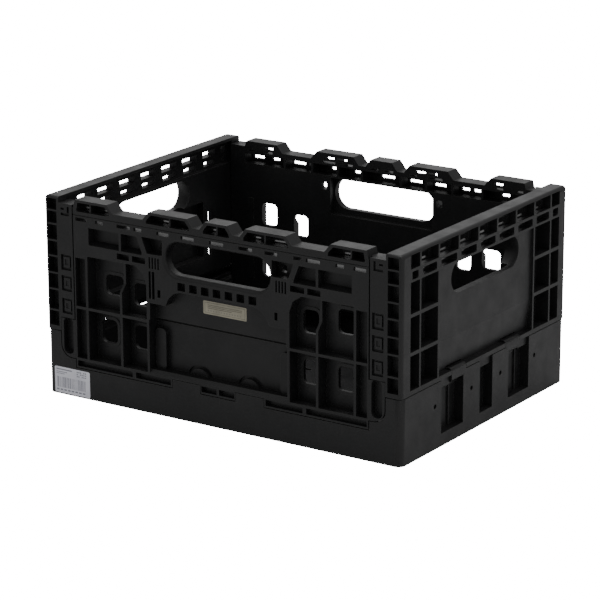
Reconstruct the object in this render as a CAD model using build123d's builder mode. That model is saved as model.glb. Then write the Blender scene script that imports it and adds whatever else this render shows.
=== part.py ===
"""Folding storage crate: a base tray, two long walls and two end walls that hinge on it.

Units are millimetres. The origin is the centre of the underside, +X runs along the long side
and +Z points up. Each wall is drawn once, in its front or right-hand place, and its twin is the
same moulding turned half a turn about Z.
"""
from build123d import *
import os

# Driving dimensions of the whole crate
LENGTH = 480.0
WIDTH = 360.0
HEIGHT = 236.0
WALL = 20.0             # depth of every wall moulding
SKIN = 3.5              # thin webs inside the mouldings
CORNER_R = 8.0          # vertical corners of the tray
HALF_L = LENGTH / 2
HALF_W = WIDTH / 2

# Base tray
FLOOR_TOP = 12.0
FLOOR_THICK = 3.0
SIDE_SKIN = 2.5
LONG_RIM = 35.5         # rim under the long walls
END_RIM = 76.0          # rim under the end walls
END_LEDGE = 65.0        # top of the tray's end box, behind its rim
END_INNER = 219.5       # inner faces of the end boxes, from the middle
TRAY_POCKETS = ((50.0, 97.0), (-14.0, 14.0), (-97.0, -50.0))
TRAY_POCKET_Z = 15.0
TRAY_POCKET_DEPTH = 12.0
SIDE_HOLE_R = 2.75
SIDE_HOLE_Z = 50.0
SIDE_HOLE_Y = (32.0, 110.0)
LABEL_SINK = 0.3
LABEL_BOX = (-231.0, -180.0, 1.5, 33.0)
COLUMN = 220.2          # the rim's end columns start here
TAB_STEP = 199.5        # and its steps under the long walls' tabs here
TAB_PLAY = 1.0
FOOT_PITCH = 42.0       # ribbed cells of the underside
FOOT_ROWS = (10, 8)
RIB = 3.0
DRAIN = (26.0, 5.0)     # slots through the floor
END_CELLS = ((17.0, 47.0), (100.0, 136.0), (139.0, 174.0))
POCKET_RIBS = (0.0, 65.0, 82.0)
POCKET_RIB = 2.0

# Hinges: a bar moulded in the wall snaps into a lug that stands on the tray
HINGE_INSET = 8.0       # from the crate's outer face to the hinge line
HINGE_DROP = 5.0        # from the top of a lug down to the hinge line
LONG_LUG_TOP = 46.0
END_LUG_TOP = 84.0
END_HINGE_DROP = 8.0    # the same for an end wall's lug
BAR_R = 3.0
BAR_PLAY = 0.05
LUG_R = 9.4
LUG_POCKET_R = 9.8
SNAP_MOUTH = 4.8
LONG_LUG_SPAN = (24.0, 62.0)
END_LUG_SPAN = (44.0, 75.0)
LUG_SIDE_PLAY = 0.6
FOOT_R = 10.4           # rounded underside of the end walls, about their hinge line
LONG_HINGE_Y = HALF_W - HINGE_INSET
LONG_HINGE_Z = LONG_LUG_TOP - HINGE_DROP
END_HINGE_X = HALF_L - HINGE_INSET
END_HINGE_Z = END_LUG_TOP - END_HINGE_DROP

# Long walls
PANEL_HALF = 198.3      # half length of the main panel
TAB_HALF = 219.0        # half length across the lower tabs
PANEL_FOOT = 36.5
TAB_FOOT = 47.0
TAB_TOP = 93.0
TAB_R = 15.0
RAIL_TOP = 226.5
TONGUE_FACE = 173.5     # outer faces of the end tongues, from the middle
TONGUE_TIP = 218.0
TONGUE_TOP = 229.0
CROWNS = ((0.0, 23.0, 0.0, 15.0), (31.0, 101.0, 39.0, 92.0), (141.0, PANEL_HALF, 150.0, 195.0))
CROWN_WALL = (5.5, 3.0)  # side walls of the hollow crowns, at their foot and top
CROWN_HOLLOW = (222.5, 226.0, 233.0)
CROWN_SHEET = 5.0       # slotted inner sheet of the crowns
CROWN_RIBS = ((-0.9, 0.9), (63.0, 64.8), (174.0, 175.8))
SHEET = 4.0             # slotted outer sheet of the top rail
RAIL_LINE = (217.5, 219.0)
RAIL_CELLS = ((-26.0, 26.0), (29.0, 60.5), (63.5, 97.0), (100.0, 137.0), (140.0, 196.8))
RAIL_CELL_Z = (208.5, 221.0)
SLOT_ROWS = (
    (211.5, 215.5, ((-9.5, 9.5), (30.0, 48.0), (64.5, 81.0), (102.0, 113.0), (118.0, 136.5),
                    (156.0, 167.0), (179.0, 195.0))),
    (223.5, 226.0, ((4.0, 17.0), (40.0, 50.0), (65.0, 85.0), (156.0, 167.0), (184.0, 193.5))),
    (228.0, 231.5, ((48.0, 62.0), (66.0, 78.0), (155.0, 167.0))))

# Long walls: hand hole, tooth pockets under its rolled lip, and the arms beside it
HAND_HALF = 70.0
HAND_BOTTOM = 168.0
HAND_TOP = 206.0
HAND_R = 18.0
LIP_R = 4.5
HAND_RELIEF = 8.0       # how far the wall is thinned around the hand hole, from inside
RELIEF_BOX = (-72.0, 72.0, 161.0, 206.5)
TEETH = 3               # tooth pockets on each side of the middle one
TOOTH = (16.0, 10.5, 8.0, 151.5, 161.0)     # pitch, width, depth, foot and top
ARM_SLOTS = ((78.5, 80.5), (82.5, 84.5), (86.5, 88.5), (90.5, 92.5))
ARM_SLOT_Z = (171.0, 184.5)
ARM_GROOVES = ((-88.5, -85.0, 136.0, 168.0), (-93.0, -90.0, 136.0, 168.0))
ARM_HOLE = (77.0, 81.0, 139.0, 148.0)
ARM_WINDOW = (77.0, 85.0, 190.5, 199.5)
ARM_DETAIL_DEPTH = 7.0

# Long walls: sunk middle, with an arched field above it
MIDDLE_HALF = 93.5
MIDDLE_Z = (48.5, 52.5, 111.0)      # face edge of the lower slope, floor edge, top
MIDDLE_SLOPE = 3.0
MIDDLE_LINE = (107.5, 111.0)         # groove under the arched field
MIDDLE_DEPTH = 16.0
ARCH_HALF = 92.0
ARCH_DEPTH = 12.0
ARCH_EDGE = ((ARCH_HALF, 131.0), (70.0, 131.0), (66.0, 140.0), (59.0, 146.5), (50.0, 149.5))
STICKER_BOX = (-26.5, 32.0, 126.8, 142.2)
POST_BOX = (77.5, 92.5, MIDDLE_Z[1] - 1, 100.0)    # rounded uprights in the sunk middle
POST_PROUD = 6.0
POST_R = 6.0
BUMP_PLACE = (34.2, 46.0)           # half-round pads over the hinge lugs
BUMP_R = 18.0
BUMP_GAP = 4.0
BUMP_SINK = 2.0
BUMP_PROUD = 5.0
FOOT_POCKETS = ((1.5, 22.4), (64.5, 113.5), (118.0, 196.5))
FOOT_POCKET_Z = (38.5, 45.5)
FOOT_POCKET_DEPTH = 6.0

# Long walls: lattice cells beside the middle, and the recess with a sloping sill above them
CELL_X = ((96.5, 131.0), (134.0, 179.5))
CELL_Z = (48.5, 107.5)
UPPER_CELLS = (((96.5, 110.5), (131.0, 110.5), (131.0, 171.5), (112.0, 171.5), (101.0, 164.0),
                (96.5, 152.0)),
               ((134.0, 110.5), (179.5, 110.5), (179.5, 171.5), (134.0, 171.5)))
WINDOWS = ((150.0, 172.0, 133.0, 161.0), (104.5, 125.0, 126.0, 153.0),
           (150.0, 172.0, 68.0, 96.0), (104.5, 125.0, 68.0, 96.0),
           (-165.0, -140.0, 126.0, 150.0), (-125.0, -104.5, 119.5, 146.0),
           (-172.0, -150.0, 68.0, 96.0), (-125.0, -104.5, 68.0, 96.0))
WINDOW_R = 6.0
WINDOW_RIM = 3.5
WINDOW_RISE = 0.9
EDGE_CELLS = ((182.5, 196.8, 48.5, 107.5), (182.5, 196.8, 110.5, 168.0))
EDGE_DEPTH = 9.0
SET_BACK = (112.0, 179.0)           # the lattice's upper ribs stand back from the face
SET_BACK_EDGE = ((-1.0, 136.0), (0.0, 136.0), (8.0, 145.0), (8.0, 171.5), (-1.0, 171.5))
SILL_POCKETS = ((97.5, 116.0, 175.0, 182.0), (120.0, 137.0, 175.0, 182.0))
SILL_POCKET_DEPTH = 8.0
RECESS_DEPTH = 12.0
RECESS_Z = (185.0, 188.0, 205.5)    # sill's face edge, its inner edge, top of the recess
RECESSES = (((102.0, RECESS_Z[1]), (131.0, RECESS_Z[1]), (131.0, RECESS_Z[2]),
             (109.0, RECESS_Z[2])),
            ((134.0, RECESS_Z[1]), (177.0, RECESS_Z[1]), (177.0, RECESS_Z[2]),
             (134.0, RECESS_Z[2])))
SILLS = ((102.0, 131.0), (134.0, 177.0))
ARM_RECESS = ((73.8, 188.0), (95.0, 188.0), (102.4, 206.5), (73.8, 206.5))
ARM_RECESS_DEPTH = 13.3
INNER_PADS = (184.5, 191.5, 62.0, 165.0)
TAB_POCKET = (202.0, 216.0, 51.0, TAB_TOP + 1)
TAB_POCKET_DEPTH = 8.0

# End walls
END_FOOT = 77.0
FOOT_GAP = 0.6          # between the rounded underside and the tray's outer skin
FLANGE_IN = 200.0       # inner edges of the wrap-round flanges
FLANGE_FACE = 173.9     # inner faces of the flanges, from the middle
FLANGE_FOOT = 94.0
FLANGE_TOP = 229.0
FRAME_SINK = 10.0       # the upper web sits this far behind the frame
END_RIBS_Y = (20.5, 62.5, 104.5, 142.5)
END_RIB = 3.0
END_SIDE = 164.0        # inner edge of the frame posts
END_TOP_R = 3.0
END_CORNER_R = 5.0
END_HAND_HALF = 74.0
END_HAND_BOTTOM = 166.5
END_HAND_TOP = 203.0

# End wall ladder, cells and snap boxes
SNAP_BOXES = (98.5, 125.5, 150.5)
SNAP_STEPS = ((202.6, 217.2, 0.0, 18.5), (205.4, 214.4, 3.0, 15.5), (207.6, 212.2, 6.0, 12.5))
SNAP_DEPTHS = (3.0, 2.5, 2.0)       # each box, the pad standing in it, the well in the pad
SNAP_PAD_SINK = 1.0
HOOK = ((204.0, 216.0, 215.0, 218.0), (204.0, 207.0, 215.0, 226.0),
        (211.0, 216.0, 221.5, 224.0))
HOOK_DEPTH = 2.5
LADDER = (222.0, 236.0)
RUNGS = (81.0, 100.5, 125.5, 145.0, 165.0, 183.5, 203.0, 219.0, 234.0)
LADDER_DEPTH = 11.0
POST_CELLS = ((82.0, 121.0), (125.0, 164.0), (168.0, 203.0))
CAP_CELLS = (217.5, 233.0)
CAP_SLOTS = (219.0, 226.5)
BAND_CELLS = (205.5, 214.5)
BAND_SLOTS = (208.0, 213.8)
BAND_CELL_INSET = 3.0   # from the ends of the cap cells above
CAP_SLOT_INSET = 5.0
BAND_SLOT_INSET = 7.0
BAND_R = 1.5
END_HOLLOW = (6.5, 206.0, 232.5)
END_HAND_R = 18.0
END_PANEL = (103.0, 82.0, 203.0)    # half width, foot and top of the sunk middle
END_PANEL_DEPTH = 3.0
END_SCOOP = (82.0, 119.0, 8.0)      # its lower part slopes inwards down to this depth
END_RELIEF = (102.0, 98.0, 168.0)
END_SLITS = ((112.0, 118.0, 141.0, 154.0), (112.0, 118.0, 98.0, 110.0))
END_WEB = 11.0

FRONT = Plane.XZ                                                # u is +X, v is Z
BACK = Plane(origin=(0, 0, 0), x_dir=(-1, 0, 0), z_dir=(0, 1, 0))   # u is -X
RIGHT = Plane.YZ                                                # u is +Y
LEFT = Plane(origin=(0, 0, 0), x_dir=(0, -1, 0), z_dir=(-1, 0, 0))  # u is -Y


def bars(*rows, radius=0.0, twins=True):
    """Add a rectangle for each (u0, u1, v0, v1), and its mirror image in u if it has one."""
    for u0, u1, v0, v1 in rows:
        middle = (u0 + u1) / 2
        places = [(middle, (v0 + v1) / 2)]
        if twins and abs(middle) > 0.01:
            places.append((-middle, (v0 + v1) / 2))
        with Locations(*places):
            if radius:
                RectangleRounded(abs(u1 - u0), v1 - v0, radius)
            else:
                Rectangle(abs(u1 - u0), v1 - v0)


def outline(*points):
    """Add the closed polygon through the points, and its mirror image in u."""
    for side in (1, -1):
        with BuildLine() as edge:
            Polyline(*[(side * u, v) for u, v in points], close=True)
        make_face(edge.edges())


def groove(span, edge_points, twins=True):
    """Cut a closed (depth, height) profile into the front face, along the x span."""
    for start in (span[0], -span[1]) if twins else (span[0],):
        with BuildSketch(RIGHT.offset(start)) as section:
            with BuildLine() as edge:
                Polyline(*[(depth - HALF_W, v) for depth, v in edge_points], close=True)
            make_face(edge.edges())
        extrude(section.sketch, amount=span[1] - span[0], mode=Mode.SUBTRACT)


def cut(plane, depth, *rows, radius=0.0, twins=True):
    """Sink the rectangles into the part, to this depth behind the plane."""
    with BuildSketch(plane) as shape:
        bars(*rows, radius=radius, twins=twins)
    extrude(shape.sketch, amount=-depth, mode=Mode.SUBTRACT)


def grow(plane, depth, *rows, radius=0.0, twins=True):
    """Add the rectangles to the part, as pads of this depth behind the plane."""
    with BuildSketch(plane) as shape:
        bars(*rows, radius=radius, twins=twins)
    extrude(shape.sketch, amount=-depth)


def hinge_lugs(section, span, hinge_u, hinge_v, drop, stem):
    """Add the two lugs of a hinge line: each a stem with a round head.

    The section plane crosses the hinge line, u outwards; the crate's face is at
    hinge_u + HINGE_INSET and the lugs stand at plus and minus the span along the line.
    Their tops are this drop above it. The stem is given as its inner and outer u and its foot.
    """
    for start in (span[0], -span[1]):
        with BuildSketch(section.offset(start)) as lug:
            with Locations((hinge_u, hinge_v)):
                Circle(LUG_R)
            bars((*stem, hinge_v), twins=False)
            with Locations((hinge_u + HINGE_INSET + 2 * LUG_R, hinge_v),
                           (hinge_u, hinge_v + drop + 2 * LUG_R)):
                Rectangle(4 * LUG_R, 4 * LUG_R, mode=Mode.SUBTRACT)
        extrude(lug.sketch, amount=span[1] - span[0])


def hinge_eyes(section, span, hinge_u, hinge_v):
    """Bore the eyes of the lugs and open their snap-in mouths towards the inside."""
    for start in (span[0], -span[1]):
        with BuildSketch(section.offset(start)) as eye:
            with Locations((hinge_u, hinge_v)):
                Circle(BAR_R + BAR_PLAY)
            bars((hinge_u - 2 * LUG_R, hinge_u, hinge_v - SNAP_MOUTH / 2,
                  hinge_v + SNAP_MOUTH / 2), twins=False)
        extrude(eye.sketch, amount=span[1] - span[0], mode=Mode.SUBTRACT)


def hinge_bars(section, span, hinge_u, hinge_v):
    """Clear the wall around the two lugs of a hinge line, and leave a bar across each gap."""
    gap = span[1] - span[0] + 2 * LUG_SIDE_PLAY
    for start in (span[0] - LUG_SIDE_PLAY, -span[1] - LUG_SIDE_PLAY):
        with BuildSketch(section.offset(start)) as pocket:
            with Locations((hinge_u, hinge_v)):
                Circle(LUG_POCKET_R)
            bars((hinge_u - WALL, hinge_u + WALL, hinge_v - WALL, hinge_v), twins=False)
        extrude(pocket.sketch, amount=gap, mode=Mode.SUBTRACT)
        with BuildSketch(section.offset(start - 1)) as across:
            with Locations((hinge_u, hinge_v)):
                Circle(BAR_R)
        extrude(across.sketch, amount=gap + 2)



# Base tray -----------------------------------------------------------------------------------
with BuildPart() as base_tray:
    # The rim is low along the sides, steps up under the tabs and curves up into the ends
    with BuildSketch(FRONT.offset(-HALF_W)) as side_shape:
        bars((-HALF_L, HALF_L, 0, LONG_RIM), twins=False)
        bars((TAB_STEP, HALF_L, 0, TAB_FOOT - TAB_PLAY), (COLUMN, HALF_L, 0, END_RIM))
        for side in (1, -1):
            with BuildLine():
                corner = (side * COLUMN, TAB_FOOT - TAB_PLAY)
                flat_end = (side * (COLUMN - TAB_R), TAB_FOOT - TAB_PLAY)
                upright_end = (side * COLUMN, TAB_FOOT - TAB_PLAY + TAB_R)
                Line(flat_end, corner)
                Line(corner, upright_end)
                RadiusArc(upright_end, flat_end, side * TAB_R)
            make_face()
    extrude(side_shape.sketch, amount=WIDTH)
    fillet(base_tray.edges().filter_by(Axis.Z).group_by(SortBy.LENGTH)[-1], CORNER_R)

    # Inside: the open tray, and the ledges that the end walls' inner corners swing over
    cut(Plane.XY.offset(HEIGHT), HEIGHT - FLOOR_TOP,
        (-END_INNER, END_INNER, -HALF_W + SIDE_SKIN, HALF_W - SIDE_SKIN), twins=False)
    cut(Plane.XY.offset(HEIGHT), HEIGHT - END_LEDGE,
        (END_INNER - 1, HALF_L - SIDE_SKIN, -HALF_W + SIDE_SKIN, HALF_W - SIDE_SKIN))

    # Underside: ribbed cells under the floor, and deep cells up inside the end boxes
    with BuildSketch(Plane.XY) as cells:
        with GridLocations(FOOT_PITCH, FOOT_PITCH, *FOOT_ROWS):
            Rectangle(FOOT_PITCH - RIB, FOOT_PITCH - RIB)
    extrude(cells.sketch, amount=FLOOR_TOP - FLOOR_THICK, mode=Mode.SUBTRACT)
    cut(Plane.XY, -(END_LEDGE - RIB), *[(END_INNER + RIB, HALF_L - RIB, v0, v1)
        for v0, v1 in END_CELLS + tuple((-v1, -v0) for v0, v1 in END_CELLS)])
    with BuildSketch(Plane.XY.offset(FLOOR_TOP)) as drains:
        with GridLocations(FOOT_PITCH, FOOT_PITCH, *FOOT_ROWS):
            SlotOverall(*DRAIN)
    extrude(drains.sketch, amount=-FLOOR_TOP, mode=Mode.SUBTRACT)

    # Ends: ribbed pockets open to the rim, and a row of round holes
    for plane in (RIGHT, LEFT):
        face = plane.offset(HALF_L)
        cut(face, TRAY_POCKET_DEPTH, *[(v0, v1, TRAY_POCKET_Z, END_RIM + 1)
            for v0, v1 in TRAY_POCKETS])
        grow(face.offset(POCKET_RIB - TRAY_POCKET_DEPTH), POCKET_RIB,
             *[(v - POCKET_RIB / 2, v + POCKET_RIB / 2, TRAY_POCKET_Z, END_LEDGE)
               for v in POCKET_RIBS])
        with BuildSketch(face) as holes:
            with Locations(*[(side * v, SIDE_HOLE_Z) for v in SIDE_HOLE_Y for side in (1, -1)]):
                Circle(SIDE_HOLE_R)
        extrude(holes.sketch, amount=-RIB - 1, mode=Mode.SUBTRACT)

    # Hinge lugs of the two long walls and of the two end walls
    for section in (LEFT, RIGHT):
        hinge_lugs(section, LONG_LUG_SPAN, LONG_HINGE_Y, LONG_HINGE_Z, HINGE_DROP,
                   (LONG_HINGE_Y + 0.5, HALF_W, 0))
    for section in (FRONT, BACK):
        hinge_lugs(section, END_LUG_SPAN, END_HINGE_X, END_HINGE_Z, END_HINGE_DROP,
                   (END_HINGE_X - LUG_R, END_HINGE_X - 1, END_LEDGE - RIB))
    for section in (LEFT, RIGHT):
        hinge_eyes(section, LONG_LUG_SPAN, LONG_HINGE_Y, LONG_HINGE_Z)
    for section in (FRONT, BACK):
        hinge_eyes(section, END_LUG_SPAN, END_HINGE_X, END_HINGE_Z)

    # Shallow seat for the stock label at the left of the front face
    cut(FRONT.offset(HALF_W), LABEL_SINK, LABEL_BOX, radius=2, twins=False)
base_tray.part.label = "base_tray"

# Long walls ----------------------------------------------------------------------------------
with BuildPart() as long_wall_front:
    face = FRONT.offset(HALF_W)
    inside = FRONT.offset(HALF_W - WALL)
    with BuildSketch(face) as panel:
        bars((-PANEL_HALF, PANEL_HALF, PANEL_FOOT, RAIL_TOP), twins=False)
        bars((PANEL_HALF - 1, TAB_HALF, TAB_FOOT, TAB_TOP))
        fillet([v for v in panel.vertices() if abs(v.X) > TAB_HALF - 1 and v.Y < TAB_TOP - 1],
               TAB_R)
        for foot_in, foot_out, top_in, top_out in CROWNS:
            outline((foot_in, RAIL_TOP - 1), (foot_out, RAIL_TOP - 1), (top_out, HEIGHT),
                    (top_in, HEIGHT))
    extrude(panel.sketch, amount=-WALL)

    # Hand hole, with its outer edge rolled into a lip
    cut(face, WALL, (-HAND_HALF, HAND_HALF, HAND_BOTTOM, HAND_TOP), radius=HAND_R, twins=False)
    rim = long_wall_front.edges().filter_by_position(Axis.Y, -HALF_W - 1, -HALF_W + 1)
    rim = rim.filter_by_position(Axis.X, -HAND_HALF - 1, HAND_HALF + 1)
    fillet(rim.filter_by_position(Axis.Z, HAND_BOTTOM - 1, HAND_TOP + 1), LIP_R)

    # Tongues that stand behind the end walls' flanges
    grow(FRONT.offset(TONGUE_FACE), TONGUE_FACE - HALF_W + WALL,
         (PANEL_HALF - 1, TONGUE_TIP, TAB_TOP - 1, TONGUE_TOP))

    # Open lattice beside the middle, with its webs on the inside and rimmed windows
    deep = WALL - SKIN
    cut(face, deep, *[(u0, u1, *CELL_Z) for u0, u1 in CELL_X])
    with BuildSketch(face) as upper_cells:
        for corners in UPPER_CELLS:
            outline(*corners)
    extrude(upper_cells.sketch, amount=-deep, mode=Mode.SUBTRACT)
    grow(inside.offset(SKIN + WINDOW_RISE), SKIN + WINDOW_RISE,
         *[(u0 - WINDOW_RIM, u1 + WINDOW_RIM, v0 - WINDOW_RIM, v1 + WINDOW_RIM)
           for u0, u1, v0, v1 in WINDOWS], radius=WINDOW_R + WINDOW_RIM, twins=False)
    cut(face, WALL, *WINDOWS, radius=WINDOW_R, twins=False)
    cut(face, EDGE_DEPTH, *EDGE_CELLS)
    groove(SET_BACK, SET_BACK_EDGE)

    # Upper recess: a sloping sill with small pockets under it, and a slanting inner end
    with BuildSketch(face) as recess:
        for corners in RECESSES:
            outline(*corners)
    extrude(recess.sketch, amount=-RECESS_DEPTH, mode=Mode.SUBTRACT)
    for span in SILLS:
        groove(span, ((0, RECESS_Z[0]), (RECESS_DEPTH, RECESS_Z[1]), (0, RECESS_Z[1])))
    cut(face, SILL_POCKET_DEPTH, *SILL_POCKETS)

    # Thin web, window and slots beside the hand hole, and tooth pockets below it
    with BuildSketch(face) as arms:
        outline(*ARM_RECESS)
    extrude(arms.sketch, amount=-ARM_RECESS_DEPTH, mode=Mode.SUBTRACT)
    cut(inside, -HAND_RELIEF, RELIEF_BOX, twins=False)
    cut(face, WALL, ARM_WINDOW, radius=2)
    cut(face, ARM_DETAIL_DEPTH, *[(u0, u1, *ARM_SLOT_Z) for u0, u1 in ARM_SLOTS])
    cut(face, ARM_DETAIL_DEPTH, ARM_HOLE)
    cut(face, ARM_DETAIL_DEPTH, *ARM_GROOVES, twins=False)
    pitch, width, depth, foot, top = TOOTH
    cut(face, depth, *[(pitch * i - width / 2, pitch * i + width / 2, foot, top)
                       for i in range(-TEETH, TEETH + 1)], twins=False)

    # Sunk middle with its arched field, rounded uprights and half-round pads over the lugs
    floor_z, top_z = MIDDLE_Z[1:]
    groove((-MIDDLE_HALF, MIDDLE_HALF),
           ((-1, MIDDLE_Z[0]), (0, MIDDLE_Z[0]), (MIDDLE_SLOPE, floor_z), (MIDDLE_DEPTH, floor_z),
            (MIDDLE_DEPTH, top_z), (-1, top_z)), twins=False)
    with BuildSketch(face) as arch:
        outline((0, top_z - 1), (ARCH_HALF, top_z - 1), *ARCH_EDGE, (0, ARCH_EDGE[-1][1]))
    extrude(arch.sketch, amount=-ARCH_DEPTH, mode=Mode.SUBTRACT)
    grow(face.offset(POST_PROUD - MIDDLE_DEPTH), POST_PROUD, POST_BOX, radius=POST_R)
    for level, depth, radius, mode in (
            (0, BUMP_SINK, BUMP_R, Mode.SUBTRACT),
            (BUMP_PROUD - BUMP_SINK, BUMP_PROUD, BUMP_R - BUMP_GAP, Mode.ADD)):
        with BuildSketch(face.offset(level - MIDDLE_DEPTH)) as pad:
            for side in (1, -1):
                with Locations((side * BUMP_PLACE[0], BUMP_PLACE[1])):
                    Circle(radius)
            with Locations((0, floor_z - BUMP_R)):
                Rectangle(LENGTH, 2 * BUMP_R, mode=Mode.SUBTRACT)
        extrude(pad.sketch, amount=-depth, mode=mode)
    cut(face, MIDDLE_DEPTH + BUMP_SINK, (-MIDDLE_HALF, MIDDLE_HALF, *MIDDLE_LINE), twins=False)
    cut(face, FOOT_POCKET_DEPTH, *[(u0, u1, *FOOT_POCKET_Z) for u0, u1 in FOOT_POCKETS])

    # Raised outline of the tabs
    cut(face, TAB_POCKET_DEPTH, TAB_POCKET, radius=6)

    # Top rail: hollow behind a thin sheet, and crowns hollow in front of one, with rows of slots
    cut(inside, -(WALL - SHEET), *[(u0, u1, *RAIL_CELL_Z) for u0, u1 in RAIL_CELLS])
    with BuildSketch(face) as hollows:
        for foot_in, foot_out, top_in, top_out in CROWNS:
            foot_z, bend_z, roof_z = CROWN_HOLLOW
            left = foot_in + min(foot_in, CROWN_WALL[0])
            right = foot_out - CROWN_WALL[0]
            outline((left, foot_z), (right, foot_z), (right, bend_z),
                    (top_out - CROWN_WALL[1], roof_z),
                    (top_in + min(top_in, CROWN_WALL[1]), roof_z), (left, bend_z))
    extrude(hollows.sketch, amount=CROWN_SHEET - WALL, mode=Mode.SUBTRACT)
    grow(face.offset(-2), WALL - CROWN_SHEET, *[(u0, u1, CROWN_HOLLOW[0] - 1, CROWN_HOLLOW[2] + 1)
         for u0, u1 in CROWN_RIBS])
    cut(face, WALL, *[(u0, u1, v0, v1) for v0, v1, row in SLOT_ROWS for u0, u1 in row])
    cut(face, 1, (-PANEL_HALF, PANEL_HALF, *RAIL_LINE), twins=False)
    grow(inside, 1, INNER_PADS)

    hinge_bars(LEFT, LONG_LUG_SPAN, LONG_HINGE_Y, LONG_HINGE_Z)
long_wall_front.part.label = "long_wall_front"

with BuildPart() as long_wall_back:
    add(long_wall_front.part, rotation=(0, 0, 180))
long_wall_back.part.label = "long_wall_back"

# End walls -----------------------------------------------------------------------------------
with BuildPart() as end_wall_right:
    face = RIGHT.offset(HALF_L)
    inside = RIGHT.offset(END_INNER)
    thick = HALF_L - END_INNER
    with BuildSketch(face) as slab:
        bars((-HALF_W, HALF_W, END_FOOT, HEIGHT), twins=False)
        fillet([v for v in slab.vertices() if v.Y > HEIGHT - 1], END_TOP_R)
    extrude(slab.sketch, amount=-thick)
    fillet(end_wall_right.edges().filter_by(Axis.Z).group_by(Axis.X)[-1], END_CORNER_R)

    # Rounded underside, which closes the gap over the tray's ledge
    inner_half = HALF_W - SIDE_SKIN - 1
    with BuildSketch(FRONT.offset(-inner_half)) as foot:
        with Locations((END_HINGE_X, END_HINGE_Z)):
            Circle(FOOT_R)
        with Locations((END_HINGE_X, END_HINGE_Z + FOOT_R)):
            Rectangle(4 * FOOT_R, 2 * FOOT_R, mode=Mode.SUBTRACT)
        with Locations((HALF_L - SIDE_SKIN - FOOT_GAP + FOOT_R, END_HINGE_Z - FOOT_R)):
            Rectangle(2 * FOOT_R, 4 * FOOT_R, mode=Mode.SUBTRACT)
    extrude(foot.sketch, amount=2 * inner_half)

    # Flanges that wrap round the long walls, with three snap boxes and a hook on each
    for plane, side in ((FRONT, 1), (BACK, -1)):
        skin = plane.offset(HALF_W)
        grow(skin, HALF_W - FLANGE_FACE,
             (side * FLANGE_IN, side * (END_INNER + 1), FLANGE_FOOT, FLANGE_TOP), twins=False)
        for v0 in SNAP_BOXES:
            box, pad, well = [(side * u0, side * u1, v0 + low, v0 + high)
                              for u0, u1, low, high in SNAP_STEPS]
            cut(skin, SNAP_DEPTHS[0], box, twins=False)
            grow(skin.offset(-SNAP_PAD_SINK), SNAP_DEPTHS[1], pad, twins=False)
            cut(skin, SNAP_DEPTHS[2], well, twins=False)
        cut(skin, HOOK_DEPTH, *[(side * u0, side * u1, v0, v1) for u0, u1, v0, v1 in HOOK],
            twins=False)
        # Ladder of pockets up the edge of the wall
        cut(skin, LADDER_DEPTH, *[(side * LADDER[0], side * LADDER[1], v0 + 1, v1 - 1)
            for v0, v1 in zip(RUNGS, RUNGS[1:])], twins=False)

    # Outer face: two rows of cells under the cap, tall cells in the posts, a sunk middle
    spaces = list(zip(END_RIBS_Y, END_RIBS_Y[1:] + (END_SIDE,)))
    cells = [(v0 + END_RIB / 2, v1 - END_RIB / 2) for v0, v1 in spaces]
    middle = (END_RIB / 2 - END_RIBS_Y[0], END_RIBS_Y[0] - END_RIB / 2)
    upper = cells + [middle]
    cut(face, FRAME_SINK, *[(v0, v1, *CAP_CELLS) for v0, v1 in upper])
    cut(face, FRAME_SINK, *[(v0 + BAND_CELL_INSET, v1 - BAND_CELL_INSET, *BAND_CELLS)
        for v0, v1 in upper], radius=BAND_R)
    cut(inside, -END_HOLLOW[0], (-END_SIDE, END_SIDE, *END_HOLLOW[1:]), twins=False)
    cut(face, thick, *[(v0 + CAP_SLOT_INSET, v1 - CAP_SLOT_INSET, *CAP_SLOTS)
        for v0, v1 in upper])
    cut(face, thick, *[(v0 + BAND_SLOT_INSET, v1 - BAND_SLOT_INSET, *BAND_SLOTS)
        for v0, v1 in upper], radius=BAND_R)
    cut(face, thick - SKIN, *[(v0, v1, w0, w1) for v0, v1 in cells[-2:] for w0, w1 in POST_CELLS])
    cut(face, thick, *END_SLITS, radius=1)
    half, foot_z, top_z = END_PANEL
    cut(face, END_PANEL_DEPTH, (-half, half, foot_z, top_z), twins=False)
    with BuildSketch(FRONT.offset(-half)) as scoop:
        with BuildLine() as edge:
            Polyline((HALF_L + 1, END_SCOOP[0]), (HALF_L - END_SCOOP[2], END_SCOOP[0]),
                     (HALF_L - END_PANEL_DEPTH, END_SCOOP[1]), (HALF_L + 1, END_SCOOP[1]),
                     close=True)
        make_face(edge.edges())
    extrude(scoop.sketch, amount=2 * half, mode=Mode.SUBTRACT)
    cut(inside, END_WEB - thick, (-END_RELIEF[0], END_RELIEF[0], *END_RELIEF[1:]), twins=False)
    cut(face, thick, (-END_HAND_HALF, END_HAND_HALF, END_HAND_BOTTOM, END_HAND_TOP),
        radius=END_HAND_R, twins=False)

    hinge_bars(FRONT, END_LUG_SPAN, END_HINGE_X, END_HINGE_Z)
end_wall_right.part.label = "end_wall_right"

with BuildPart() as end_wall_left:
    add(end_wall_right.part, rotation=(0, 0, 180))
end_wall_left.part.label = "end_wall_left"

# Labels --------------------------------------------------------------------------------------
with BuildPart() as stock_label:
    grow(FRONT.offset(HALF_W), LABEL_SINK, LABEL_BOX, radius=2, twins=False)
stock_label.part.label = "stock_label"

with BuildPart() as wall_sticker:
    grow(FRONT.offset(HALF_W - ARCH_DEPTH + LABEL_SINK), LABEL_SINK, STICKER_BOX,
         radius=1.5, twins=False)
wall_sticker.part.label = "wall_sticker"

os.makedirs("parts", exist_ok=True)
for piece in (base_tray, long_wall_front, long_wall_back, end_wall_right, end_wall_left,
              stock_label, wall_sticker):
    export_step(piece.part, f"parts/{piece.part.label}.step")
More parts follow.
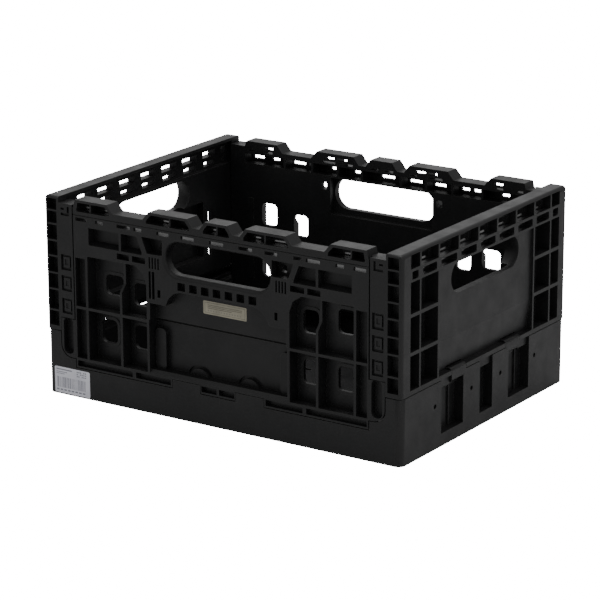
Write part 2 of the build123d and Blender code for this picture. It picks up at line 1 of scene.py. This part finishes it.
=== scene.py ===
"""Looks of the folding storage crate: moulded black polypropylene, two labels, a white studio.

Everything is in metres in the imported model's own frame. The five mouldings are the CAD nodes
themselves, with rounded edges and a procedural plastic; the two labels get raised printing.
"""

import math
import random

import bmesh
import bpy
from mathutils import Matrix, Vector


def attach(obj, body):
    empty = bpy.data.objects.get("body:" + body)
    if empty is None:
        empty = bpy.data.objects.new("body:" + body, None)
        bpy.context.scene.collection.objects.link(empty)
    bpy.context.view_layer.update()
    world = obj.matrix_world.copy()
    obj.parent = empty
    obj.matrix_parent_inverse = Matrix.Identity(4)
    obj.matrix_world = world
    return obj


MM = 0.001
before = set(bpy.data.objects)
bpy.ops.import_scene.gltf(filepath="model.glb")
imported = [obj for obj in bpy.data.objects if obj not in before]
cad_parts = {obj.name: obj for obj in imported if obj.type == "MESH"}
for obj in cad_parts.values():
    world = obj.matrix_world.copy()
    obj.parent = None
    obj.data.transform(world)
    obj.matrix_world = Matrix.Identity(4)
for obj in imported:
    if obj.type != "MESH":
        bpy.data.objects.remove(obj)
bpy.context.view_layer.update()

# Camera: the view that the crate is shown from
AZIMUTH = math.radians(33.76)       # from looking along +Y, towards looking along -X
ELEVATION = math.radians(16.68)
ROLL = math.radians(-0.2)
DISTANCE = 3.314                    # from the frame's origin, along the view
AIM_RIGHT = 0.0084                  # the origin's place in the view
AIM_UP = -0.0999
FOCAL_RATIO = 4.731                 # focal length over image width
SENSOR = 36.0

# Studio brightness: what lights the crate, and what the camera sees behind it
ROOM_LIGHT = 0.42
BACKDROP_WHITE = 20.0
FLOOR_WHITE = 18.0
FLOOR_BOUNCE = 0.1
FLOOR_SIZE = 6.0
LAMPS = (                           # name, place, target, (width, height), watts
    ("top_softbox", (0.1, 0.35, 2.3), (0, 0, 0.1), (2.0, 1.6), 31),
    ("right_softbox", (2.4, -0.9, 1.1), (0.1, 0, 0.1), (1.4, 1.4), 7.5),
    ("back_wash", (-1.4, 2.1, 1.0), (0, 0, 0.15), (1.6, 1.6), 5.5),
    ("front_softbox", (-0.4, -1.5, 2.1), (0, 0, 0.1), (1.2, 1.2), 6),
)

# Edge rounding of the mouldings
EDGE_RADIUS = 0.45 * MM
EDGE_ANGLE = math.radians(35)


def make_camera():
    """A camera at the given angles, with the origin where AIM_RIGHT and AIM_UP put it."""
    right = Vector((math.cos(AZIMUTH), math.sin(AZIMUTH), 0))
    back = Vector((math.sin(AZIMUTH) * math.cos(ELEVATION),
                   -math.cos(AZIMUTH) * math.cos(ELEVATION), math.sin(ELEVATION)))
    up = back.cross(right)
    data = bpy.data.cameras.new("camera")
    data.sensor_width = SENSOR
    data.lens = SENSOR * FOCAL_RATIO
    data.clip_end = 50
    camera = bpy.data.objects.new("camera", data)
    bpy.context.scene.collection.objects.link(camera)
    turn = (right * math.cos(ROLL) + up * math.sin(ROLL),
            up * math.cos(ROLL) - right * math.sin(ROLL))
    axes = bpy.data.objects["camera"].matrix_world.copy()
    for row in range(3):
        axes[row][0], axes[row][1], axes[row][2] = turn[0][row], turn[1][row], back[row]
        axes[row][3] = (back * DISTANCE - turn[0] * AIM_RIGHT - turn[1] * AIM_UP)[row]
    camera.matrix_world = axes
    bpy.context.scene.camera = camera


def area_light(name, place, target, size, power):
    """A soft area light of this size, (width, height), at a place and facing a target."""
    data = bpy.data.lights.new(name, "AREA")
    data.shape = "RECTANGLE"
    data.size, data.size_y = size
    data.energy = power
    light = bpy.data.objects.new(name, data)
    light.location = place
    light.rotation_euler = (Vector(target) - Vector(place)).to_track_quat("-Z", "Y").to_euler()
    bpy.context.scene.collection.objects.link(light)


def make_studio():
    """A white floor and room, and the soft lamps."""
    scene = bpy.context.scene
    world = bpy.data.worlds.new("room")
    world.use_nodes = True
    tree = world.node_tree
    background = tree.nodes["Background"]
    background.inputs["Color"].default_value = (1, 1, 1, 1)
    ray = tree.nodes.new("ShaderNodeLightPath")
    strength = tree.nodes.new("ShaderNodeMapRange")
    strength.inputs["To Min"].default_value = ROOM_LIGHT
    strength.inputs["To Max"].default_value = BACKDROP_WHITE
    tree.links.new(ray.outputs["Is Camera Ray"], strength.inputs["Value"])
    tree.links.new(strength.outputs["Result"], background.inputs["Strength"])
    scene.world = world

    floor = mesh_piece("studio_floor", sheet_mesh(FLOOR_SIZE, FLOOR_SIZE))
    floor.data.materials.append(floor_material())

    for lamp in LAMPS:
        area_light(*lamp)


def mesh_piece(name, mesh):
    """An object for a mesh, linked into the scene."""
    piece = bpy.data.objects.new(name, mesh)
    bpy.context.scene.collection.objects.link(piece)
    return piece


def sheet_mesh(width, depth):
    """A flat rectangle in the floor plane, centred on the origin."""
    form = bmesh.new()
    corners = [form.verts.new((x * width / 2, y * depth / 2, 0))
               for x, y in ((-1, -1), (1, -1), (1, 1), (-1, 1))]
    form.faces.new(corners)
    mesh = bpy.data.meshes.new("sheet")
    form.to_mesh(mesh)
    form.free()
    return mesh


# Materials -----------------------------------------------------------------------------------
class Shader:
    """A small helper that adds and links nodes of one material."""

    def __init__(self, name):
        self.material = bpy.data.materials.new(name)
        self.material.use_nodes = True
        self.tree = self.material.node_tree
        self.surface = self.tree.nodes["Principled BSDF"]

    def add(self, kind, **values):
        """A node of this kind, with attributes or input values set."""
        node = self.tree.nodes.new(kind)
        for key, value in values.items():
            if hasattr(node, key):
                setattr(node, key, value)
            else:
                node.inputs[key.replace("_", " ")].default_value = value
        return node

    def link(self, source, target):
        self.tree.links.new(source, target)

    def noise(self, scale, detail=3.0, roughness=0.5, stretch=(1, 1, 1)):
        """3-D noise in object space, in turns per metre."""
        place = self.add("ShaderNodeTexCoord")
        mapping = self.add("ShaderNodeMapping", Scale=stretch)
        noise = self.add("ShaderNodeTexNoise", Scale=scale, Detail=detail, Roughness=roughness)
        self.link(place.outputs["Object"], mapping.inputs["Vector"])
        self.link(mapping.outputs["Vector"], noise.inputs["Vector"])
        return noise.outputs["Fac"]

    def spread(self, value, low, high, start, end):
        """A value remapped from low..high to start..end."""
        remap = self.add("ShaderNodeMapRange")
        for name, number in zip(("From Min", "From Max", "To Min", "To Max"),
                                (low, high, start, end)):
            remap.inputs[name].default_value = number
        self.link(value, remap.inputs["Value"])
        return remap.outputs["Result"]

    def math(self, operation, first, second):
        """A sum, product or other operation on two values, each a socket or a number."""
        node = self.add("ShaderNodeMath", operation=operation)
        for socket, value in zip(node.inputs, (first, second)):
            if isinstance(value, (int, float)):
                socket.default_value = value
            else:
                self.link(value, socket)
        return node.outputs[0]

    def mix(self, fac, dark, light):
        """A colour between two colours, by a mask; a colour is a socket or three numbers."""
        node = self.add("ShaderNodeMix", data_type="RGBA")
        self.link(fac, node.inputs["Factor"])
        for socket, colour in ((node.inputs[6], dark), (node.inputs[7], light)):
            if isinstance(colour, tuple):
                socket.default_value = (*colour, 1)
            else:
                self.link(colour, socket)
        return node.outputs[2]

    def bump(self, height, strength, distance, normal=None):
        """A bump of this height, in metres, on top of an earlier normal."""
        node = self.add("ShaderNodeBump", Strength=strength, Distance=distance)
        self.link(height, node.inputs["Height"])
        if normal:
            self.link(normal, node.inputs["Normal"])
        return node.outputs["Normal"]


def moulded_black():
    """Black polypropylene: spark-eroded grain, faint flow marks, dust, edge wear and painted
    edge highlight.
    """
    shader = Shader("black_polypropylene")
    surface = shader.surface
    grain = shader.noise(2600, detail=2)
    flow = shader.noise(9, detail=4, stretch=(1, 1, 0.35))
    blotch = shader.noise(38, detail=5, roughness=0.6)
    scuff = shader.noise(120, detail=6, roughness=0.7, stretch=(1, 1, 0.12))

    # Edge mask from the bevelled normal. Every sharp edge is painted lighter: partly rubbed
    # wear, partly a painted highlight where edges catch the light.
    rounded = shader.add("ShaderNodeBevel", samples=4, Radius=1.1 * MM)
    plain = shader.add("ShaderNodeNewGeometry")
    turn = shader.add("ShaderNodeVectorMath", operation="DOT_PRODUCT")
    shader.link(rounded.outputs["Normal"], turn.inputs[0])
    shader.link(plain.outputs["Normal"], turn.inputs[1])
    edge = shader.spread(turn.outputs["Value"], 0.995, 0.80, 0, 1)
    rubbed_and_highlit_edges = shader.math("MULTIPLY", edge, shader.spread(blotch, 0.42, 0.62, 0.25, 1))

    base = shader.mix(shader.spread(flow, 0.35, 0.65, 0, 1), (0.0065, 0.0065, 0.0069),
                      (0.0100, 0.0100, 0.0104))
    dusty = shader.mix(shader.spread(scuff, 0.60, 0.78, 0, 0.35), base, (0.026, 0.026, 0.026))
    # Painted highlight and rubbed wear: the edges take the lighter colour.
    colour = shader.mix(rubbed_and_highlit_edges, dusty, (0.040, 0.040, 0.040))
    shader.link(colour, surface.inputs["Base Color"])

    rough = shader.math("ADD", shader.spread(blotch, 0.3, 0.7, 0.36, 0.50),
                        shader.math("MULTIPLY", grain, 0.06))
    shader.link(rough, surface.inputs["Roughness"])
    surface.inputs["Specular IOR Level"].default_value = 0.35

    shape = shader.bump(flow, 0.25, 0.4 * MM)
    shape = shader.bump(blotch, 0.15, 0.12 * MM, shape)
    shape = shader.bump(grain, 0.35, 0.03 * MM, shape)
    shader.link(shape, surface.inputs["Normal"])
    return shader.material


def paper(name, colour, tint, roughness):
    """Label stock: slightly uneven colour and a faint fibre bump."""
    shader = Shader(name)
    fibre = shader.noise(900, detail=5)
    stain = shader.noise(60, detail=3)
    shader.link(shader.mix(shader.spread(stain, 0.35, 0.7, 0, 1), colour, tint),
                shader.surface.inputs["Base Color"])
    shader.link(shader.spread(fibre, 0.3, 0.7, roughness - 0.06, roughness + 0.06),
                shader.surface.inputs["Roughness"])
    shader.link(shader.bump(fibre, 0.2, 0.03 * MM), shader.surface.inputs["Normal"])
    return shader.material


def ink(name, colour):
    """Printing ink, a little broken up."""
    shader = Shader(name)
    breaks = shader.noise(2200, detail=3)
    lighter = tuple(min(1.0, c * 1.6 + 0.03) for c in colour)
    shader.link(shader.mix(shader.spread(breaks, 0.45, 0.7, 0, 1), colour, lighter),
                shader.surface.inputs["Base Color"])
    shader.link(shader.spread(breaks, 0.3, 0.7, 0.45, 0.6), shader.surface.inputs["Roughness"])
    return shader.material


def floor_material():
    """White studio paper, burnt out to white where it is looked at directly."""
    shader = Shader("studio_white")
    tone = shader.noise(3, detail=2)
    shader.link(shader.mix(tone, (0.60, 0.60, 0.60), (0.64, 0.64, 0.64)),
                shader.surface.inputs["Base Color"])
    shader.link(shader.spread(tone, 0, 1, 0.75, 0.85), shader.surface.inputs["Roughness"])
    shader.surface.inputs["Emission Color"].default_value = (1, 1, 1, 1)
    ray = shader.add("ShaderNodeLightPath")
    shader.link(shader.spread(ray.outputs["Is Camera Ray"], 0, 1, FLOOR_BOUNCE,
                              FLOOR_WHITE),
                shader.surface.inputs["Emission Strength"])
    return shader.material


# Mouldings -----------------------------------------------------------------------------------
def finish_moulding(node, material):
    """Give a CAD moulding its plastic, and small rounded edges that catch the light."""
    node.data.materials.clear()
    node.data.materials.append(material)
    weld = node.modifiers.new("weld", "WELD")
    weld.merge_threshold = 0.01 * MM
    bevel = node.modifiers.new("edge_radius", "BEVEL")
    bevel.width = EDGE_RADIUS
    bevel.segments = 2
    bevel.limit_method = "ANGLE"
    bevel.angle_limit = EDGE_ANGLE
    bevel.harden_normals = True


# Label printing ------------------------------------------------------------------------------
PRINT_LIFT = 0.04 * MM      # how far the printing stands off its label
LABEL_FACE = -180.0 * MM    # outer face of the stock label
STICKER_FACE = -168.3 * MM  # outer face of the wall sticker
STICKER_PRINT = (-24.5, 30.0, 128.4, 140.6)   # left, right, low and high edges, in mm
FRAME_WIDTH = 0.5           # width of the printed frame's lines, in mm
STICKER_MARGIN = 4.0        # from the frame's left edge to the rules and squares
STICKER_RULES = ((3.4, 4.0), (5.2, 4.0), (7.0, 18.0))   # drop from the top, gap at the right
RULE_WIDTH = 0.8
SQUARE = 1.8
SQUARE_STEP = 3.6
SQUARE_COUNT = 13
SQUARE_LIFT = 1.9           # from the frame's lower edge
LABEL_LEFT = -228.6         # left edge of the stock label's printing, in mm


def printed(name, face, marks, material, body):
    """Thin raised printing on an upright label that faces -Y.

    Each mark is a closed outline of (x, z) points in millimetres; the piece rides on a body.
    """
    form = bmesh.new()
    for outline in marks:
        back = [form.verts.new((x * MM, face + PRINT_LIFT, z * MM)) for x, z in outline]
        front = [form.verts.new((x * MM, face - PRINT_LIFT, z * MM)) for x, z in outline]
        form.faces.new(front)
        form.faces.new(back[::-1])
        for i in range(len(outline)):
            j = (i + 1) % len(outline)
            form.faces.new((front[j], front[i], back[i], back[j]))
    bmesh.ops.recalc_face_normals(form, faces=form.faces)
    mesh = bpy.data.meshes.new(name)
    form.to_mesh(mesh)
    form.free()
    mesh.materials.append(material)
    piece = mesh_piece(name, mesh)
    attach(piece, body)


def box_mark(x0, x1, z0, z1):
    """A plain rectangle of printing."""
    return [(x0, z0), (x1, z0), (x1, z1), (x0, z1)]


def stock_label_marks():
    """Plain rules, a block of upright bars and a small grid: a generic stock label."""
    draw = random.Random(7)
    marks = [box_mark(LABEL_LEFT, -206.0, 29.2, 30.6),
             box_mark(LABEL_LEFT, -213.0, 26.4, 27.2), box_mark(LABEL_LEFT, -216.5, 24.4, 25.1)]
    x = LABEL_LEFT + 1.0
    while x < -186.0:
        width = draw.choice((0.35, 0.35, 0.7, 1.05))
        marks.append(box_mark(x, x + width, 8.2, 20.8))
        x += width + draw.choice((0.45, 0.8, 1.15))
    marks += [box_mark(LABEL_LEFT + 5.4 * i, LABEL_LEFT + 3.7 + 5.4 * i, 4.6, 6.3)
              for i in range(8)]
    marks += [box_mark(-199.0 + 2.4 * i, -197.4 + 2.4 * i, z, z + 1.5)
              for i in range(6) for z in (24.2, 26.8, 29.4) if draw.random() > 0.3]
    return marks


def sticker_marks():
    """A thin frame with plain rules, and a row of squares: generic printing for the sticker."""
    left, right, low, high = STICKER_PRINT
    rules = [box_mark(left, right, z, z + FRAME_WIDTH) for z in (low, high - FRAME_WIDTH)]
    rules += [box_mark(x, x + FRAME_WIDTH, low + FRAME_WIDTH, high - FRAME_WIDTH)
              for x in (left, right - FRAME_WIDTH)]
    rules += [box_mark(left + STICKER_MARGIN, right - gap, high - drop, high - drop + RULE_WIDTH)
              for drop, gap in STICKER_RULES]
    starts = [left + STICKER_MARGIN + SQUARE_STEP * i for i in range(SQUARE_COUNT)]
    base = low + SQUARE_LIFT
    squares = [box_mark(x, x + SQUARE, base, base + SQUARE) for x in starts]
    return rules, squares


make_camera()
make_studio()
plastic = moulded_black()
for name in ("base_tray", "long_wall_front", "long_wall_back", "end_wall_left",
             "end_wall_right"):
    finish_moulding(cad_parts[name], plastic)
label = paper("label_paper", (0.78, 0.78, 0.84), (0.66, 0.66, 0.73), 0.5)
film = paper("sticker_film", (0.37, 0.345, 0.26), (0.28, 0.26, 0.195), 0.4)
for name, material in (("stock_label", label), ("wall_sticker", film)):
    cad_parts[name].data.materials.clear()
    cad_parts[name].data.materials.append(material)
printed("stock_print", LABEL_FACE, stock_label_marks(), ink("grey_ink", (0.22, 0.22, 0.26)),
        "tub")
for name, marks, colour in zip(("sticker_rules", "sticker_squares"), sticker_marks(),
                               ((0.13, 0.12, 0.09), (0.20, 0.19, 0.15))):
    printed(name, STICKER_FACE, marks, ink(name + "_ink", colour), "front_wall")
